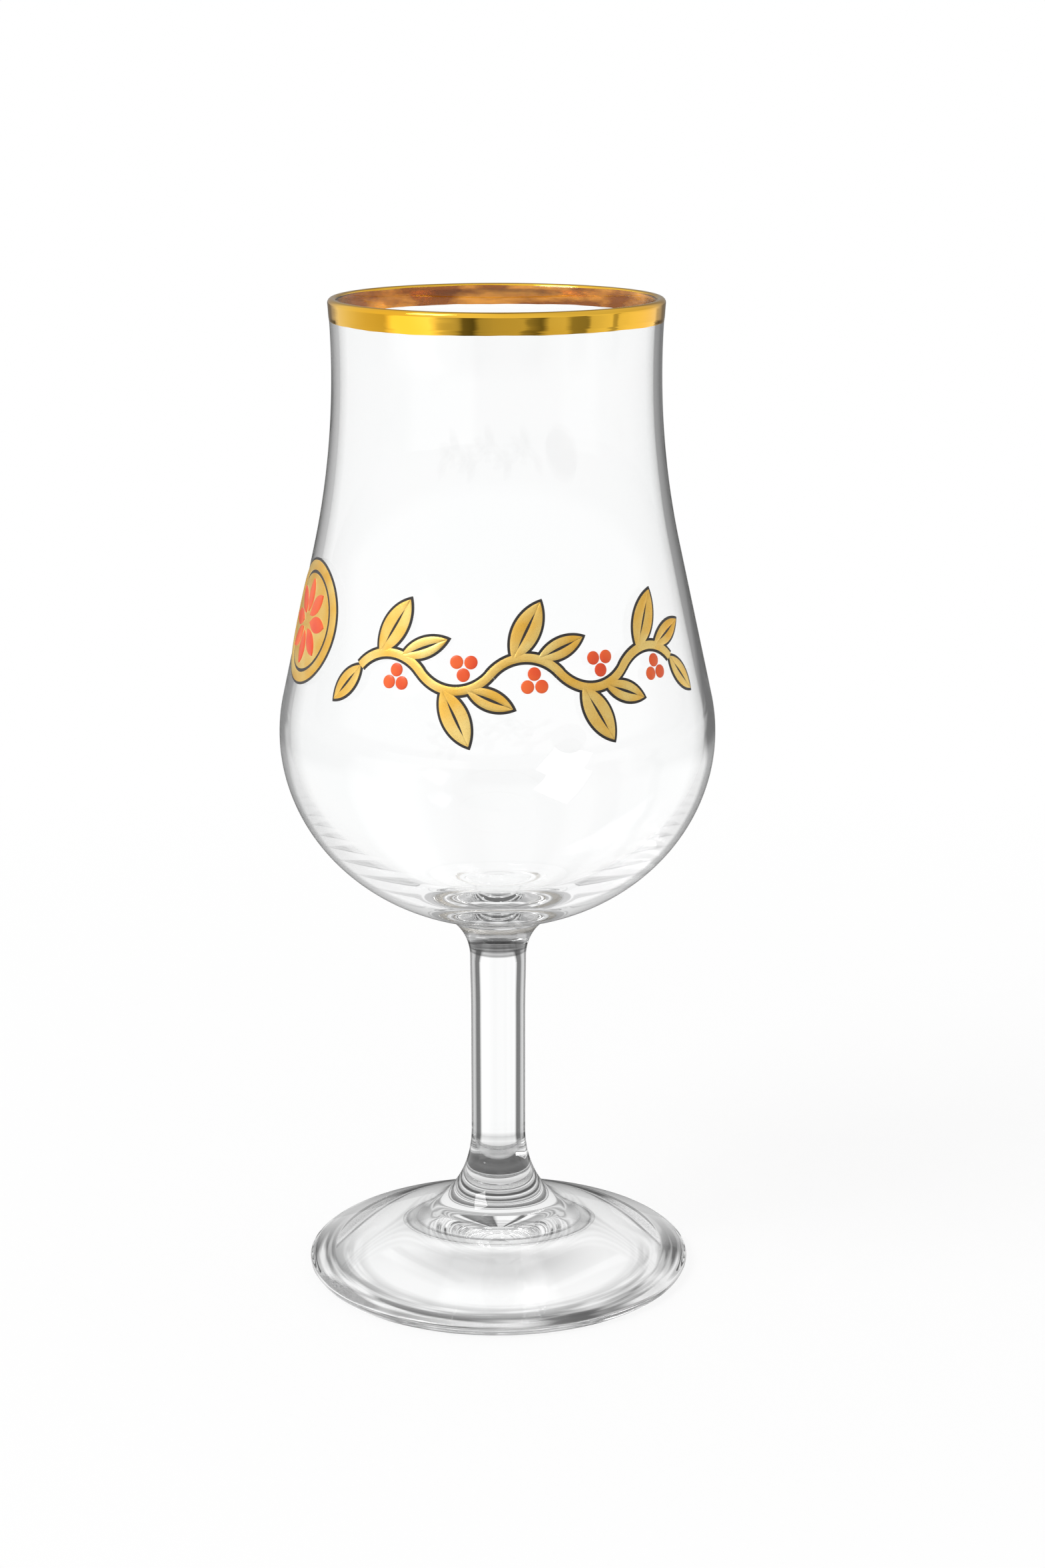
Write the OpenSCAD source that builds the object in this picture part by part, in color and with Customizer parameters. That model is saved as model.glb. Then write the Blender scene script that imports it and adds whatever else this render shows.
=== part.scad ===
// Stemmed liqueur glass: a tulip bowl welded to a drawn stem and a pressed foot,
// with a gilded lip and a fired enamel print of a running vine and a medallion.
// The glass stands on z = 0 with its axis on +Z, and the vine faces -Y.

/* [Foot] */
// Outside diameter of the foot
foot_d = 47.2; // [42:0.1:56]
// Height of the foot's widest line above the table
foot_edge_h = 1.2; // [0.9:0.1:1.6]
// Rise of the rolled edge above that line
foot_edge_rise = 0.6; // [0.4:0.1:1.2]
// Slope of the foot's top from level, in degrees
foot_slope = 22; // [18:0.5:25]
// Width of the flat ring that the glass rests on
rest_ring_w = 2.4; // [1:0.1:5]
// Rise of the hollow under the foot
hollow_h = 4.8; // [2:0.1:5.8]
// Height of the hub that is drawn up from the foot to meet the stem
hub_h = 17.6; // [16:0.1:24]
// Half width of the oval that the flare between foot and hub follows
root_w = 7.5; // [6:0.1:9]

/* [Stem] */
// Length of the stem between its two welds
stem_len = 22.4; // [14:0.1:60]
// Diameter of the stem at its slimmest
stem_d = 6.64; // [5.6:0.02:7.6]
// Diameter of the stem at the weld to the bowl
stem_top_d = 6.84; // [5.6:0.02:8]
// Length over which the stem widens towards the bowl
stem_taper = 7; // [3:0.5:12]

/* [Bowl] */
// Diameter of the bowl at the belly, its widest
belly_d = 52.3; // [47:0.1:58]
// Depth of the bowl's bottom curve below the belly
belly_depth = 23.5; // [20:0.1:28]
// Height of the lip above the belly
lip_rise = 51.6; // [44:0.1:60]
// Diameter of the bowl at the waist under the lip
waist_d = 38.6; // [35:0.1:42]
// Lean of the straight shoulder from upright, in degrees
shoulder_lean = 12.5; // [10.5:0.1:16]
// Radius of the concave flare that carries the lip
flare_r = 95.7; // [75:0.1:120]
// Diameter at which the drawn neck leaves the bowl
neck_d = 15.9; // [12:0.1:20]
// Thickness of the wall at the lip
lip_wall = 1; // [0.8:0.05:1.8]
// Thickness of the wall at the belly
belly_wall = 1.3; // [0.9:0.05:2.4]
// Thickness of the bowl's floor on the axis
floor_t = 3; // [2:0.1:5]

/* [Gold lip] */
// Height of the gold band, from the crest of the lip
band_h = 2.5; // [1.5:0.1:6]
// Thickness of the fired gold film
gold_t = 0.05; // [0.03:0.01:0.12]
// How far the film turns over the lip, in degrees of its half circle
lip_wrap = 150; // [90:5:175]

/* [Enamel] */
// Thickness of one fired layer of enamel
enamel_t = 0.06; // [0.04:0.01:0.12]
// Width of the dark line round each gold shape
line_w = 0.3; // [0.15:0.05:0.6]

/* [Vine] */
// Turn of the vine's middle from the front, in degrees
vine_turn = 8; // [-10:1:30]
// Height of the vine's middle line above the belly
vine_rise = 12; // [9:0.5:13]
// Number of half waves in the vine
vine_waves = 5; // [2:1:6]
// Turn of the bowl that one half wave takes, in degrees
vine_pitch = 19; // [15:0.5:21]
// Slope of the vine where it crosses its middle line, in degrees
vine_slope = 50; // [35:1:60]
// Width of the vine's stalk
stalk_w = 0.9; // [0.5:0.1:1.4]
// Length of the upright leaf on each crest
leaf_len = 7; // [4:0.1:8]
// Width of that leaf
leaf_w = 2.9; // [1.2:0.1:3.4]
// Length of the leaf that trails after it
trail_len = 5.6; // [3.5:0.1:6.5]
// Width of the trailing leaf
trail_w = 2.1; // [1:0.1:2.6]
// Width of a leaf's dark vein
vein_w = 0.3; // [0.2:0.05:0.5]
// Diameter of a berry
berry_d = 1.5; // [0.8:0.1:1.8]

/* [Medallion] */
// Turn of the medallion's middle from the front, in degrees
medallion_turn = -70; // [-120:1:-68]
// Height of the medallion's centre above the belly
medallion_rise = 15; // [12:0.5:17]
// Diameter of the medallion's gold field
medallion_d = 14; // [8:0.5:15]
// Width of the dark ring near its border
medallion_ring_w = 0.4; // [0.2:0.05:0.8]
// Number of petals in its rosette
petals = 8; // [5:1:12]

/* [Hidden] */

GLASS = [0.90, 0.94, 0.95, 0.45];
BRIGHT_GOLD = [0.86, 0.64, 0.18];
PRINT_GOLD = [0.87, 0.69, 0.32];
BLACK = [0.08, 0.07, 0.07];
RED = [0.86, 0.25, 0.10];

// Largest distance between a drawn curve and its chords
chord_error = 0.006;
// Enough sides for an outline's true circles
$fn = 96;

// Outlines run in the half plane [radius, height].

// Steps that keep a turn of some degrees at a radius within the chord error
function steps(r, sweep) = max(2, ceil(abs(sweep) / (2 * acos(1 - chord_error / r))));

// Points from one angle to another round a centre
function arc(c, r, from, to) =
    let (n = steps(r, to - from))
    [for (i = [0:n]) let (a = from + (to - from) * i / n) c + r * [cos(a), sin(a)]];

function flip(list) = [for (i = [len(list) - 1:-1:0]) list[i]];
function tail(list) = [for (i = [1:len(list) - 1]) list[i]];

// Rises smoothly from 0 to 1 and is level at both ends
function ease(x) = (1 - cos(180 * x)) / 2;

// Height of the weld between stem and bowl
bowl_weld_z = hub_h + stem_len;

// Points on an oval from one of its angles to another
function oval(c, half, from, to) =
    let (n = steps(max(half), to - from))
    [for (i = [0:n]) let (a = from + (to - from) * i / n) c + [half.x * cos(a), half.y * sin(a)]];

// Distance from an oval's centre to its tangent across a direction, and the angle of that tangent's point
function tangent_reach(half, way) = norm([half.x * way.x, half.y * way.y]);
function tangent_angle(half, way) = atan2(half.y * way.y, half.x * way.x);

// Foot: an oval flare comes down from the hub, and a straight slope takes it to the rolled edge
edge_c = [foot_d / 2 - foot_edge_h, foot_edge_h];
edge_half = [foot_edge_h, foot_edge_rise];
slope_n = [sin(foot_slope), cos(foot_slope)];
root_c = [stem_d / 2 + root_w, hub_h];
root_reach = slope_n * (root_c - edge_c) - tangent_reach(edge_half, slope_n);
root_half = [root_w, sqrt(pow(root_reach, 2) - pow(root_w * slope_n.x, 2)) / slope_n.y];
ring_in = edge_c.x - rest_ring_w;
hollow_r = (pow(ring_in, 2) + pow(hollow_h, 2)) / (2 * hollow_h);

// Bowl: its lower part is half an ellipse, which ends where the neck is drawn out of it
belly_r = belly_d / 2;
neck_t = -acos(neck_d / belly_d);
function ellipse_normal(t) =
    let (n = [belly_depth * cos(t), belly_r * sin(t)]) n / norm(n);
neck_n = ellipse_normal(neck_t);
neck_r = (neck_d - stem_top_d) / 2 / (1 - neck_n.x);
belly_z = bowl_weld_z - belly_depth * sin(neck_t) - neck_r * neck_n.y;
neck_c = [stem_top_d / 2 + neck_r, bowl_weld_z];
function ellipse_point(t) = [belly_r * cos(t), belly_z + belly_depth * sin(t)];

// A straight shoulder leaves the ellipse and runs into the flare below the lip
shoulder_t = atan(belly_depth / belly_r * tan(shoulder_lean));
shoulder_p = ellipse_point(shoulder_t);
shoulder_n = [cos(shoulder_lean), sin(shoulder_lean)];
shoulder_len = (shoulder_p.x - waist_d / 2 - flare_r * (1 - shoulder_n.x)) / shoulder_n.y;
flare_c = shoulder_p + shoulder_len * [-shoulder_n.y, shoulder_n.x] + flare_r * shoulder_n;

// The lip is a half circle that closes the wall
lip_z = belly_z + lip_rise;
lip_r = lip_wall / 2;
lip_a = 180 - asin((lip_z - lip_r - flare_c.y) / (flare_r + lip_r));
lip_c = flare_c + (flare_r + lip_r) * [cos(lip_a), sin(lip_a)];
band_a = 180 - asin((lip_z - band_h - flare_c.y) / flare_r);

// The outside of the bowl, moved out by some distance, in stretches from the lip downwards
function lip_gilt(out = 0) = arc(lip_c, lip_r + out, lip_a - 180 + lip_wrap, lip_a - 180);
function flare_gilt(out = 0) =
    let (n = steps(flare_r, band_a - lip_a))
    [for (i = [0:n]) let (a = lip_a + (band_a - lip_a) * i / n)
        flare_c + (flare_r - out) * [cos(a), sin(a)]];
function flare_bare(out = 0) =
    let (to = 180 + shoulder_lean, n = steps(flare_r, to - band_a))
    [for (i = [0:n]) let (a = band_a + (to - band_a) * i / n)
        flare_c + (flare_r - out) * [cos(a), sin(a)]];
function belly_upper(out = 0) =
    let (n = steps(belly_depth, shoulder_t))
    [for (i = [0:n]) let (t = shoulder_t * (1 - i / n)) ellipse_point(t) + out * ellipse_normal(t)];
function belly_lower(to, out = 0) =
    let (n = steps(belly_depth, to))
    [for (i = [1:n]) let (t = to * i / n) ellipse_point(t) + out * ellipse_normal(t)];

// Radius of the bowl's outside at a height on the shoulder
function shoulder_radius(z) = shoulder_p.x - (z - shoulder_p.y) * tan(shoulder_lean);

// The wall thickens from the lip to the belly, and the inside ends in its own half ellipse
function wall(z) =
    lip_wall + (belly_wall - lip_wall) * ease(max(0, min(1, (lip_c.y - z) / (lip_c.y - belly_z))));
function inside(outer, normals) =
    [for (i = [0:len(outer) - 1]) outer[i] - wall(outer[i].y) * normals[i]];
function bowl_inside() =
    let (
        upper = concat(flare_gilt(), tail(flare_bare()), belly_upper()),
        moved = concat(flare_gilt(1), tail(flare_bare(1)), belly_upper(1)),
        r = belly_r - belly_wall,
        depth = belly_depth - floor_t,
        n = steps(depth, 90)
    )
    concat(
        inside(upper, moved - upper),
        [for (i = [1:n]) let (t = -90 * i / n) [r * cos(t), belly_z + depth * sin(t)]]
    );

module bowl() {
    lip_bare = arc(lip_c, lip_r, lip_a, lip_a - 180 + lip_wrap);
    neck = arc(neck_c, neck_r, atan2(-neck_n.y, -neck_n.x), 180);
    outline = concat(
        flip(bowl_inside()),
        tail(lip_bare), tail(lip_gilt()),
        tail(flare_gilt()), tail(flare_bare()),
        belly_upper(), belly_lower(neck_t),
        tail(neck),
        [[0, bowl_weld_z]]
    );
    color(GLASS) rotate_extrude() polygon(outline);
}

module stem() {
    n = steps(stem_len, 20);
    taper = [
        for (i = [0:n]) [
            stem_d / 2 + (stem_top_d - stem_d) / 2 * ease(1 - i / n),
            bowl_weld_z - stem_taper * i / n
        ]
    ];
    outline = concat(
        [[0, bowl_weld_z]],
        taper,
        [[stem_d / 2, hub_h], [0, hub_h]]
    );
    color(GLASS) rotate_extrude() polygon(outline);
}

module foot() {
    outline = concat(
        [[0, hub_h]],
        oval(root_c, root_half, 180, 360 + tangent_angle(root_half, -slope_n)),
        oval(edge_c, edge_half, tangent_angle(edge_half, slope_n), 0),
        tail(arc(edge_c, foot_edge_h, 0, -90)),
        flip(arc([0, hollow_h - hollow_r], hollow_r, 90, asin(1 - hollow_h / hollow_r)))
    );
    color(GLASS) rotate_extrude() polygon(outline);
}

module lip_gold() {
    under = concat(lip_gilt(), tail(flare_gilt()));
    over = concat(lip_gilt(gold_t), tail(flare_gilt(gold_t)));
    color(BRIGHT_GOLD) rotate_extrude() polygon(concat(under, flip(over)));
}

// Enamel: what the children cut out of one fired layer on the bowl, counted from the glass
module fired(layer) {
    lowest = -25;
    under = enamel_t * (layer - 1);
    over = enamel_t * layer;
    intersection() {
        rotate_extrude() polygon(concat(
            flare_bare(under), belly_upper(under), belly_lower(lowest, under),
            flip(concat(flare_bare(over), belly_upper(over), belly_lower(lowest, over)))
        ));
        children();
    }
}

// A flat drawing pushed out through the wall, turned to face some way round the bowl
module facing(turn, z) {
    rotate([0, 0, turn]) rotate([90, 0, 0]) linear_extrude(height = belly_d)
        translate([0, z]) children();
}

// A pointed leaf or petal along +Y, made by two arcs and grown by some margin
module leaf(length, width, grow = 0) {
    r = (pow(length, 2) + pow(width, 2)) / (4 * width);
    translate([0, length / 2]) intersection_for (side = [-1, 1])
        translate([side * (r - width / 2), 0]) circle(r + grow);
}

// The vine is a row of arcs, each bulging away from its middle line
vine_z = belly_z + vine_rise;
vine_half = shoulder_radius(vine_z) * sin(vine_pitch / 2);
vine_r = vine_half / sin(vine_slope);
vine_c = [0, -vine_r * cos(vine_slope)];

// One half wave of stalk, bulging upwards, with its ends square to the line
module stalk(grow) {
    overlap = 2;
    reach = 3 * vine_r;
    edge = vine_slope + overlap;
    translate(vine_c) intersection() {
        difference() {
            circle(vine_r + stalk_w / 2 + grow);
            circle(vine_r - stalk_w / 2 - grow);
        }
        polygon([[0, 0], reach * [-sin(edge), cos(edge)], reach * [sin(edge), cos(edge)]]);
    }
}

// Moves the children to a place on the stalk, counted from its crest, and turns them off its line
module on_stalk(place, off) {
    translate(vine_c + vine_r * [sin(place), cos(place)]) rotate(off - place - 90) children();
}

// A leaf with a slit for its vein, which only a leaf that is not grown has
module veined_leaf(length, width, grow) {
    vein_start = 0.2 * length;
    vein_len = 0.62 * length;
    difference() {
        leaf(length, width, grow);
        if (grow == 0) translate([0, vein_start]) leaf(vein_len, vein_w);
    }
}

// Each crest carries two leaves that lean forwards, and the vine ends in a leaf both ways
module half_wave(i, grow = 0) {
    place = 16;
    leaf_lean = 46;
    trail_lean = 38;
    stalk(grow);
    on_stalk(-place, leaf_lean) veined_leaf(leaf_len, leaf_w, grow);
    on_stalk(place, trail_lean) veined_leaf(trail_len, trail_w, grow);
    if (i == 0) on_stalk(-vine_slope, 180) veined_leaf(trail_len, trail_w, grow);
    if (i == vine_waves - 1) on_stalk(vine_slope, 0) veined_leaf(trail_len, trail_w, grow);
}

// Turns a drawing to the place of one half wave; every other one hangs below the line
module at_wave(i) {
    facing(vine_turn + (i - (vine_waves - 1) / 2) * vine_pitch, vine_z) mirror([0, i % 2]) children();
}

module vine_outline() {
    color(BLACK) for (i = [0:vine_waves - 1]) fired(1) at_wave(i) half_wave(i, line_w);
}

module vine_gold() {
    color(PRINT_GOLD) for (i = [0:vine_waves - 1]) fired(2) at_wave(i) half_wave(i);
}

// Three berries hang in the hollow of each half wave
module vine_berries() {
    apart = 0.62 * berry_d;
    clear_of_stalk = stalk_w / 2 + 2 * line_w + berry_d / 2;
    middle = [vine_half / 4, vine_r + vine_c.y - clear_of_stalk - apart];
    color(RED) for (i = [0:vine_waves - 1], turn = [-30, 90, 210])
        fired(1) at_wave(i) translate(middle) rotate(turn) translate([apart, 0]) circle(d = berry_d);
}

medallion_z = belly_z + medallion_rise;

module medallion_outline() {
    color(BLACK) fired(1) facing(medallion_turn, medallion_z) circle(d = medallion_d + 2 * line_w);
}

module medallion_field() {
    ring_d = 0.84 * medallion_d;
    color(PRINT_GOLD) fired(2) facing(medallion_turn, medallion_z) difference() {
        circle(d = medallion_d);
        difference() {
            circle(d = ring_d);
            circle(d = ring_d - 2 * medallion_ring_w);
        }
    }
}

module medallion_rosette() {
    eye_r = 0.08 * medallion_d;
    petal_len = 0.27 * medallion_d;
    gap_share = 0.2;
    petal_w = (1 - gap_share) * 2 * (eye_r + petal_len / 2) * sin(180 / petals);
    color(RED) fired(3) facing(medallion_turn, medallion_z)
        for (i = [0:petals - 1])
            rotate(360 * i / petals) translate([0, eye_r]) leaf(petal_len, petal_w);
}

bowl();
stem();
foot();
lip_gold();
vine_outline();
vine_gold();
vine_berries();
medallion_outline();
medallion_field();
medallion_rosette();
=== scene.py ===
"""Looks of the liqueur glass: clear glass, a gilded lip and a fired enamel print.

Sizes are in millimetres, as in the part's source, and meshes are written in metres.
Turns are in radians, counted from the front of the glass, which faces -Y, towards +X.
"""
import math

import bpy
import numpy as np
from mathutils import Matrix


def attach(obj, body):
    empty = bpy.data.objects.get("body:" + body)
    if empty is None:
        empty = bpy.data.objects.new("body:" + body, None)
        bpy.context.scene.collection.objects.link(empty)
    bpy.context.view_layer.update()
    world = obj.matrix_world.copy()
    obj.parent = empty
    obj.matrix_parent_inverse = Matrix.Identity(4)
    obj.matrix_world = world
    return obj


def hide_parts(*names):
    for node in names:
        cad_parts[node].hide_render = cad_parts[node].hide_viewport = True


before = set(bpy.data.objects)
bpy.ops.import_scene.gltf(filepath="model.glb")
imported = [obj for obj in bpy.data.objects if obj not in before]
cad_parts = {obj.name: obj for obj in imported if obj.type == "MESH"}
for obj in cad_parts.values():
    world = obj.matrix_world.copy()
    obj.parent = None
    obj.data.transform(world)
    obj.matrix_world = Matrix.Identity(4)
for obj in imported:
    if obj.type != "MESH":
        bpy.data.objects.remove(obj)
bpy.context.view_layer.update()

MM = 0.001
TURN = 2 * math.pi

# Foot
FOOT_R = 23.6
EDGE_H = 1.2
EDGE_RISE = 0.6
FOOT_SLOPE = math.radians(22)
REST_RING_W = 2.4
HOLLOW_H = 4.8
HUB_H = 17.6
ROOT_W = 7.5

# Stem
STEM_R = 3.32
STEM_TOP_R = 3.42
STEM_LEN = 22.4
STEM_TAPER = 7.0
BOWL_WELD_Z = HUB_H + STEM_LEN

# Bowl
BELLY_R = 26.15
BELLY_DEPTH = 23.5
LIP_RISE = 51.6
WAIST_R = 19.3
SHOULDER_LEAN = math.radians(12.5)
FLARE_R = 95.7
NECK_SPREAD_R = 7.95
LIP_WALL = 1.0
BELLY_WALL = 1.3
FLOOR_T = 3.0

# Gold lip: the film thins to its two brushed edges, over a share of the band and of the wrap, and each edge
# wobbles by rows of (size, waves in a turn, start)
BAND_H = 2.5
GOLD_T = 0.05
LIP_WRAP = math.radians(150)
BRUSH_EDGE_T = 0.015
BAND_FADE = 0.25
WRAP_FADE = 0.1
BAND_WOBBLE = [(0.045, 3, 0.4), (0.027, 7, 2.1), (0.01575, 17, 0), (0.009, 41, 0)]
WRAP_WOBBLE = [(math.radians(5), 5, 1), (math.radians(3), 13, 0)]

# Fired enamel: thickness of a layer, the dark line round the gold, how far a layer sinks into what
# carries it, and how much it crowns in the middle
ENAMEL_T = 0.06
LINE_W = 0.3
SUNK = 0.02
VINE_CROWN = 0.05
BERRY_CROWN = 0.12
BORDER_CROWN = 0.06
FIELD_CROWN = 0.03
PETAL_CROWN = 0.08

# Vine
VINE_TURN = math.radians(8)
VINE_RISE = 12.0
VINE_WAVES = 5
VINE_PITCH = math.radians(19)
VINE_SLOPE = math.radians(50)
STALK_W = 0.9
LEAF = (7.0, 2.9)
TRAIL = (5.6, 2.1)
LEAF_PLACE = math.radians(16)
LEAF_LEAN = math.radians(46)
TRAIL_LEAN = math.radians(38)
VEIN_START = 0.2
VEIN_LEN = 0.62
VEIN_W = 0.3
BERRY_R = 0.75
BERRY_APART = 0.93
BERRY_TURNS = np.radians([-30, 90, 210])
HAIR = 0.01

# Medallion
MEDALLION_TURN = math.radians(-70)
MEDALLION_RISE = 15.0
MEDALLION_R = 7.0
MEDALLION_RING_R = 5.88
MEDALLION_RING_W = 0.4
PETALS = 8
EYE_R = 1.12
PETAL_LEN = 3.78
PETAL_W = 0.8 * 2 * (EYE_R + PETAL_LEN / 2) * math.sin(math.pi / PETALS)

# Faces round the axis of every turned piece, and the bend past which an edge stays crisp
ROUND = 256
CRISP_BEND = math.radians(50)


# Outlines of the glass, as rows of [radius, height]

def arc(centre, radius, start, end, count):
    """Points on a circle: centre plus radius times (cos, sin) of an angle that runs from start to end."""
    a = np.linspace(start, end, count)
    return np.stack([centre[0] + radius * np.cos(a), centre[1] + radius * np.sin(a)], axis=-1)


def ease(x):
    """Half a cosine wave from 0 to 1, level at both ends."""
    return (1 - np.cos(np.pi * np.clip(x, 0, 1))) / 2


def ellipse_normal(t):
    """Outward normal of the bowl's ellipse at its angle t."""
    n = np.stack([BELLY_DEPTH * np.cos(t), BELLY_R * np.sin(t)], axis=-1)
    return n / np.linalg.norm(n, axis=-1, keepdims=True)


NECK_T = -math.acos(NECK_SPREAD_R / BELLY_R)
NECK_N = ellipse_normal(np.array(NECK_T))
NECK_R = (NECK_SPREAD_R - STEM_TOP_R) / (1 - NECK_N[0])
BELLY_Z = BOWL_WELD_Z - BELLY_DEPTH * math.sin(NECK_T) - NECK_R * NECK_N[1]

SHOULDER_T = math.atan(BELLY_DEPTH / BELLY_R * math.tan(SHOULDER_LEAN))
SHOULDER_P = np.array([BELLY_R * math.cos(SHOULDER_T), BELLY_Z + BELLY_DEPTH * math.sin(SHOULDER_T)])
SHOULDER_N = np.array([math.cos(SHOULDER_LEAN), math.sin(SHOULDER_LEAN)])
SHOULDER_LEN = (SHOULDER_P[0] - WAIST_R - FLARE_R * (1 - SHOULDER_N[0])) / SHOULDER_N[1]
FLARE_C = SHOULDER_P + SHOULDER_LEN * np.array([-SHOULDER_N[1], SHOULDER_N[0]]) + FLARE_R * SHOULDER_N
FLARE_FOOT_Z = FLARE_C[1] - FLARE_R * SHOULDER_N[1]

LIP_Z = BELLY_Z + LIP_RISE
LIP_R = LIP_WALL / 2
LIP_A = math.pi - math.asin((LIP_Z - LIP_R - FLARE_C[1]) / (FLARE_R + LIP_R))
LIP_C = FLARE_C + (FLARE_R + LIP_R) * np.array([math.cos(LIP_A), math.sin(LIP_A)])
LIP_END_Z = FLARE_C[1] + FLARE_R * math.sin(LIP_A)


def bowl_radius(z):
    """Outside radius of the bowl at a height: flare arc, then straight shoulder, then ellipse."""
    flare = FLARE_C[0] - np.sqrt(np.maximum(FLARE_R**2 - (z - FLARE_C[1])**2, 0))
    shoulder = SHOULDER_P[0] - (z - SHOULDER_P[1]) * math.tan(SHOULDER_LEAN)
    belly = BELLY_R * np.sqrt(np.maximum(1 - ((z - BELLY_Z) / BELLY_DEPTH)**2, 0))
    return np.where(z > FLARE_FOOT_Z, flare, np.where(z > SHOULDER_P[1], shoulder, belly))


def bowl_lean(z):
    """Angle of the bowl's outward normal above level, for the same three stretches."""
    flare = np.arcsin(np.clip((FLARE_C[1] - z) / FLARE_R, -1, 1))
    shoulder = np.full_like(z, SHOULDER_LEAN)
    s = np.clip((z - BELLY_Z) / BELLY_DEPTH, -0.999, 0.999)
    belly = np.arctan2(BELLY_R * s, BELLY_DEPTH * np.sqrt(1 - s * s))
    return np.where(z > FLARE_FOOT_Z, flare, np.where(z > SHOULDER_P[1], shoulder, belly))


def wall(z):
    """Thickness of the bowl's wall, which eases from the lip's to the belly's."""
    return LIP_WALL + (BELLY_WALL - LIP_WALL) * ease((LIP_END_Z - z) / (LIP_END_Z - BELLY_Z))


def bowl_outline():
    """Inside from the floor's centre up, half circle of the lip, outside down to the neck and its weld."""
    t = np.linspace(-math.pi / 2, 0, 72)[:-1]
    depth = BELLY_DEPTH - FLOOR_T
    floor = np.stack([(BELLY_R - BELLY_WALL) * np.cos(t), BELLY_Z + depth * np.sin(t)], axis=-1)
    floor[0, 0] = 0
    z = np.linspace(BELLY_Z, LIP_END_Z, 72)
    lean = bowl_lean(z)
    inner = np.stack([bowl_radius(z) - wall(z) * np.cos(lean), z - wall(z) * np.sin(lean)], axis=-1)
    lip = arc(LIP_C, LIP_R, LIP_A, LIP_A - math.pi, 18)[1:-1]
    outer = np.stack([bowl_radius(z), z], axis=-1)[::-1]
    t = np.linspace(0, NECK_T, 64)[1:]
    under = np.stack([BELLY_R * np.cos(t), BELLY_Z + BELLY_DEPTH * np.sin(t)], axis=-1)
    neck_c = (STEM_TOP_R + NECK_R, BOWL_WELD_Z)
    neck = arc(neck_c, NECK_R, math.atan2(-NECK_N[1], -NECK_N[0]), math.pi, 28)[1:]
    return np.concatenate([floor, inner, lip, outer, under, neck, [[0, BOWL_WELD_Z]]])


def stem_outline():
    """Rod between two flat welds, which widens in half a cosine wave towards the bowl."""
    z = np.linspace(HUB_H, BOWL_WELD_Z, 48)
    r = STEM_R + (STEM_TOP_R - STEM_R) * ease((z - BOWL_WELD_Z + STEM_TAPER) / STEM_TAPER)
    side = np.stack([r, z], axis=-1)[::-1]
    return np.concatenate([[[0, BOWL_WELD_Z]], side, [[0, HUB_H]]])


def oval(centre, half, start, end, count):
    """Points on an oval: centre plus its half widths times (cos, sin) of an angle from start to end."""
    a = np.linspace(start, end, count)
    return np.stack([centre[0] + half[0] * np.cos(a), centre[1] + half[1] * np.sin(a)], axis=-1)


def foot_outline():
    """Oval flare from the hub, a straight slope that touches it and the rolled edge, the flat ring and the
    arc of the hollow. A tangent across a direction lies as far from an oval's centre as the length of its
    half widths times that direction."""
    edge_c, edge_half = np.array([FOOT_R - EDGE_H, EDGE_H]), np.array([EDGE_H, EDGE_RISE])
    slope_n = np.array([math.sin(FOOT_SLOPE), math.cos(FOOT_SLOPE)])
    root_c = np.array([STEM_R + ROOT_W, HUB_H])
    reach = slope_n @ (root_c - edge_c) - np.linalg.norm(edge_half * slope_n)
    root_half = np.array([ROOT_W, math.sqrt(reach**2 - (ROOT_W * slope_n[0])**2) / slope_n[1]])
    flare_end = math.atan2(-root_half[1] * slope_n[1], -root_half[0] * slope_n[0]) + TURN
    edge_start = math.atan2(edge_half[1] * slope_n[1], edge_half[0] * slope_n[0])
    flare = oval(root_c, root_half, math.pi, flare_end, 72)
    roll = oval(edge_c, edge_half, edge_start, 0, 24)
    under = arc(edge_c, EDGE_H, 0, -math.pi / 2, 24)[1:]
    top = flare[-1] + (roll[0] - flare[-1]) * np.linspace(0, 1, 40)[1:-1, None]
    ring_in = edge_c[0] - REST_RING_W
    hollow_r = (ring_in**2 + HOLLOW_H**2) / (2 * HOLLOW_H)
    rim = math.asin(1 - HOLLOW_H / hollow_r)
    hollow = arc((0, HOLLOW_H - hollow_r), hollow_r, rim, math.pi / 2, 64)
    hollow[-1, 0] = 0
    return np.concatenate([[[0, HUB_H]], flare, top, roll, under, hollow])


# Meshes

def add_piece(name, points, quads, materials, quad_slots=None):
    """Mesh object from an array of points in millimetres and an array of four-cornered faces.

    A face whose last two corners are one point is written as a triangle.
    """
    corners = np.where(quads[:, 2] == quads[:, 3], 3, 4)
    keep = np.arange(4)[None, :] < corners[:, None]
    mesh = bpy.data.meshes.new(name)
    mesh.vertices.add(len(points))
    mesh.vertices.foreach_set("co", (points * MM).astype(np.float32).ravel())
    mesh.loops.add(int(corners.sum()))
    mesh.loops.foreach_set("vertex_index", quads[keep].astype(np.int32))
    mesh.polygons.add(len(quads))
    mesh.polygons.foreach_set("loop_start", np.concatenate([[0], np.cumsum(corners)[:-1]]).astype(np.int32))
    mesh.polygons.foreach_set("use_smooth", np.ones(len(quads), bool))
    for material in materials:
        mesh.materials.append(material)
    if quad_slots is not None:
        mesh.polygons.foreach_set("material_index", quad_slots.astype(np.int32))
    mesh.update(calc_edges=True)
    mesh.validate()
    mesh.set_sharp_from_angle(angle=CRISP_BEND)
    piece = bpy.data.objects.new(name, mesh)
    bpy.context.scene.collection.objects.link(piece)
    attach(piece, "root")
    return piece


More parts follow.
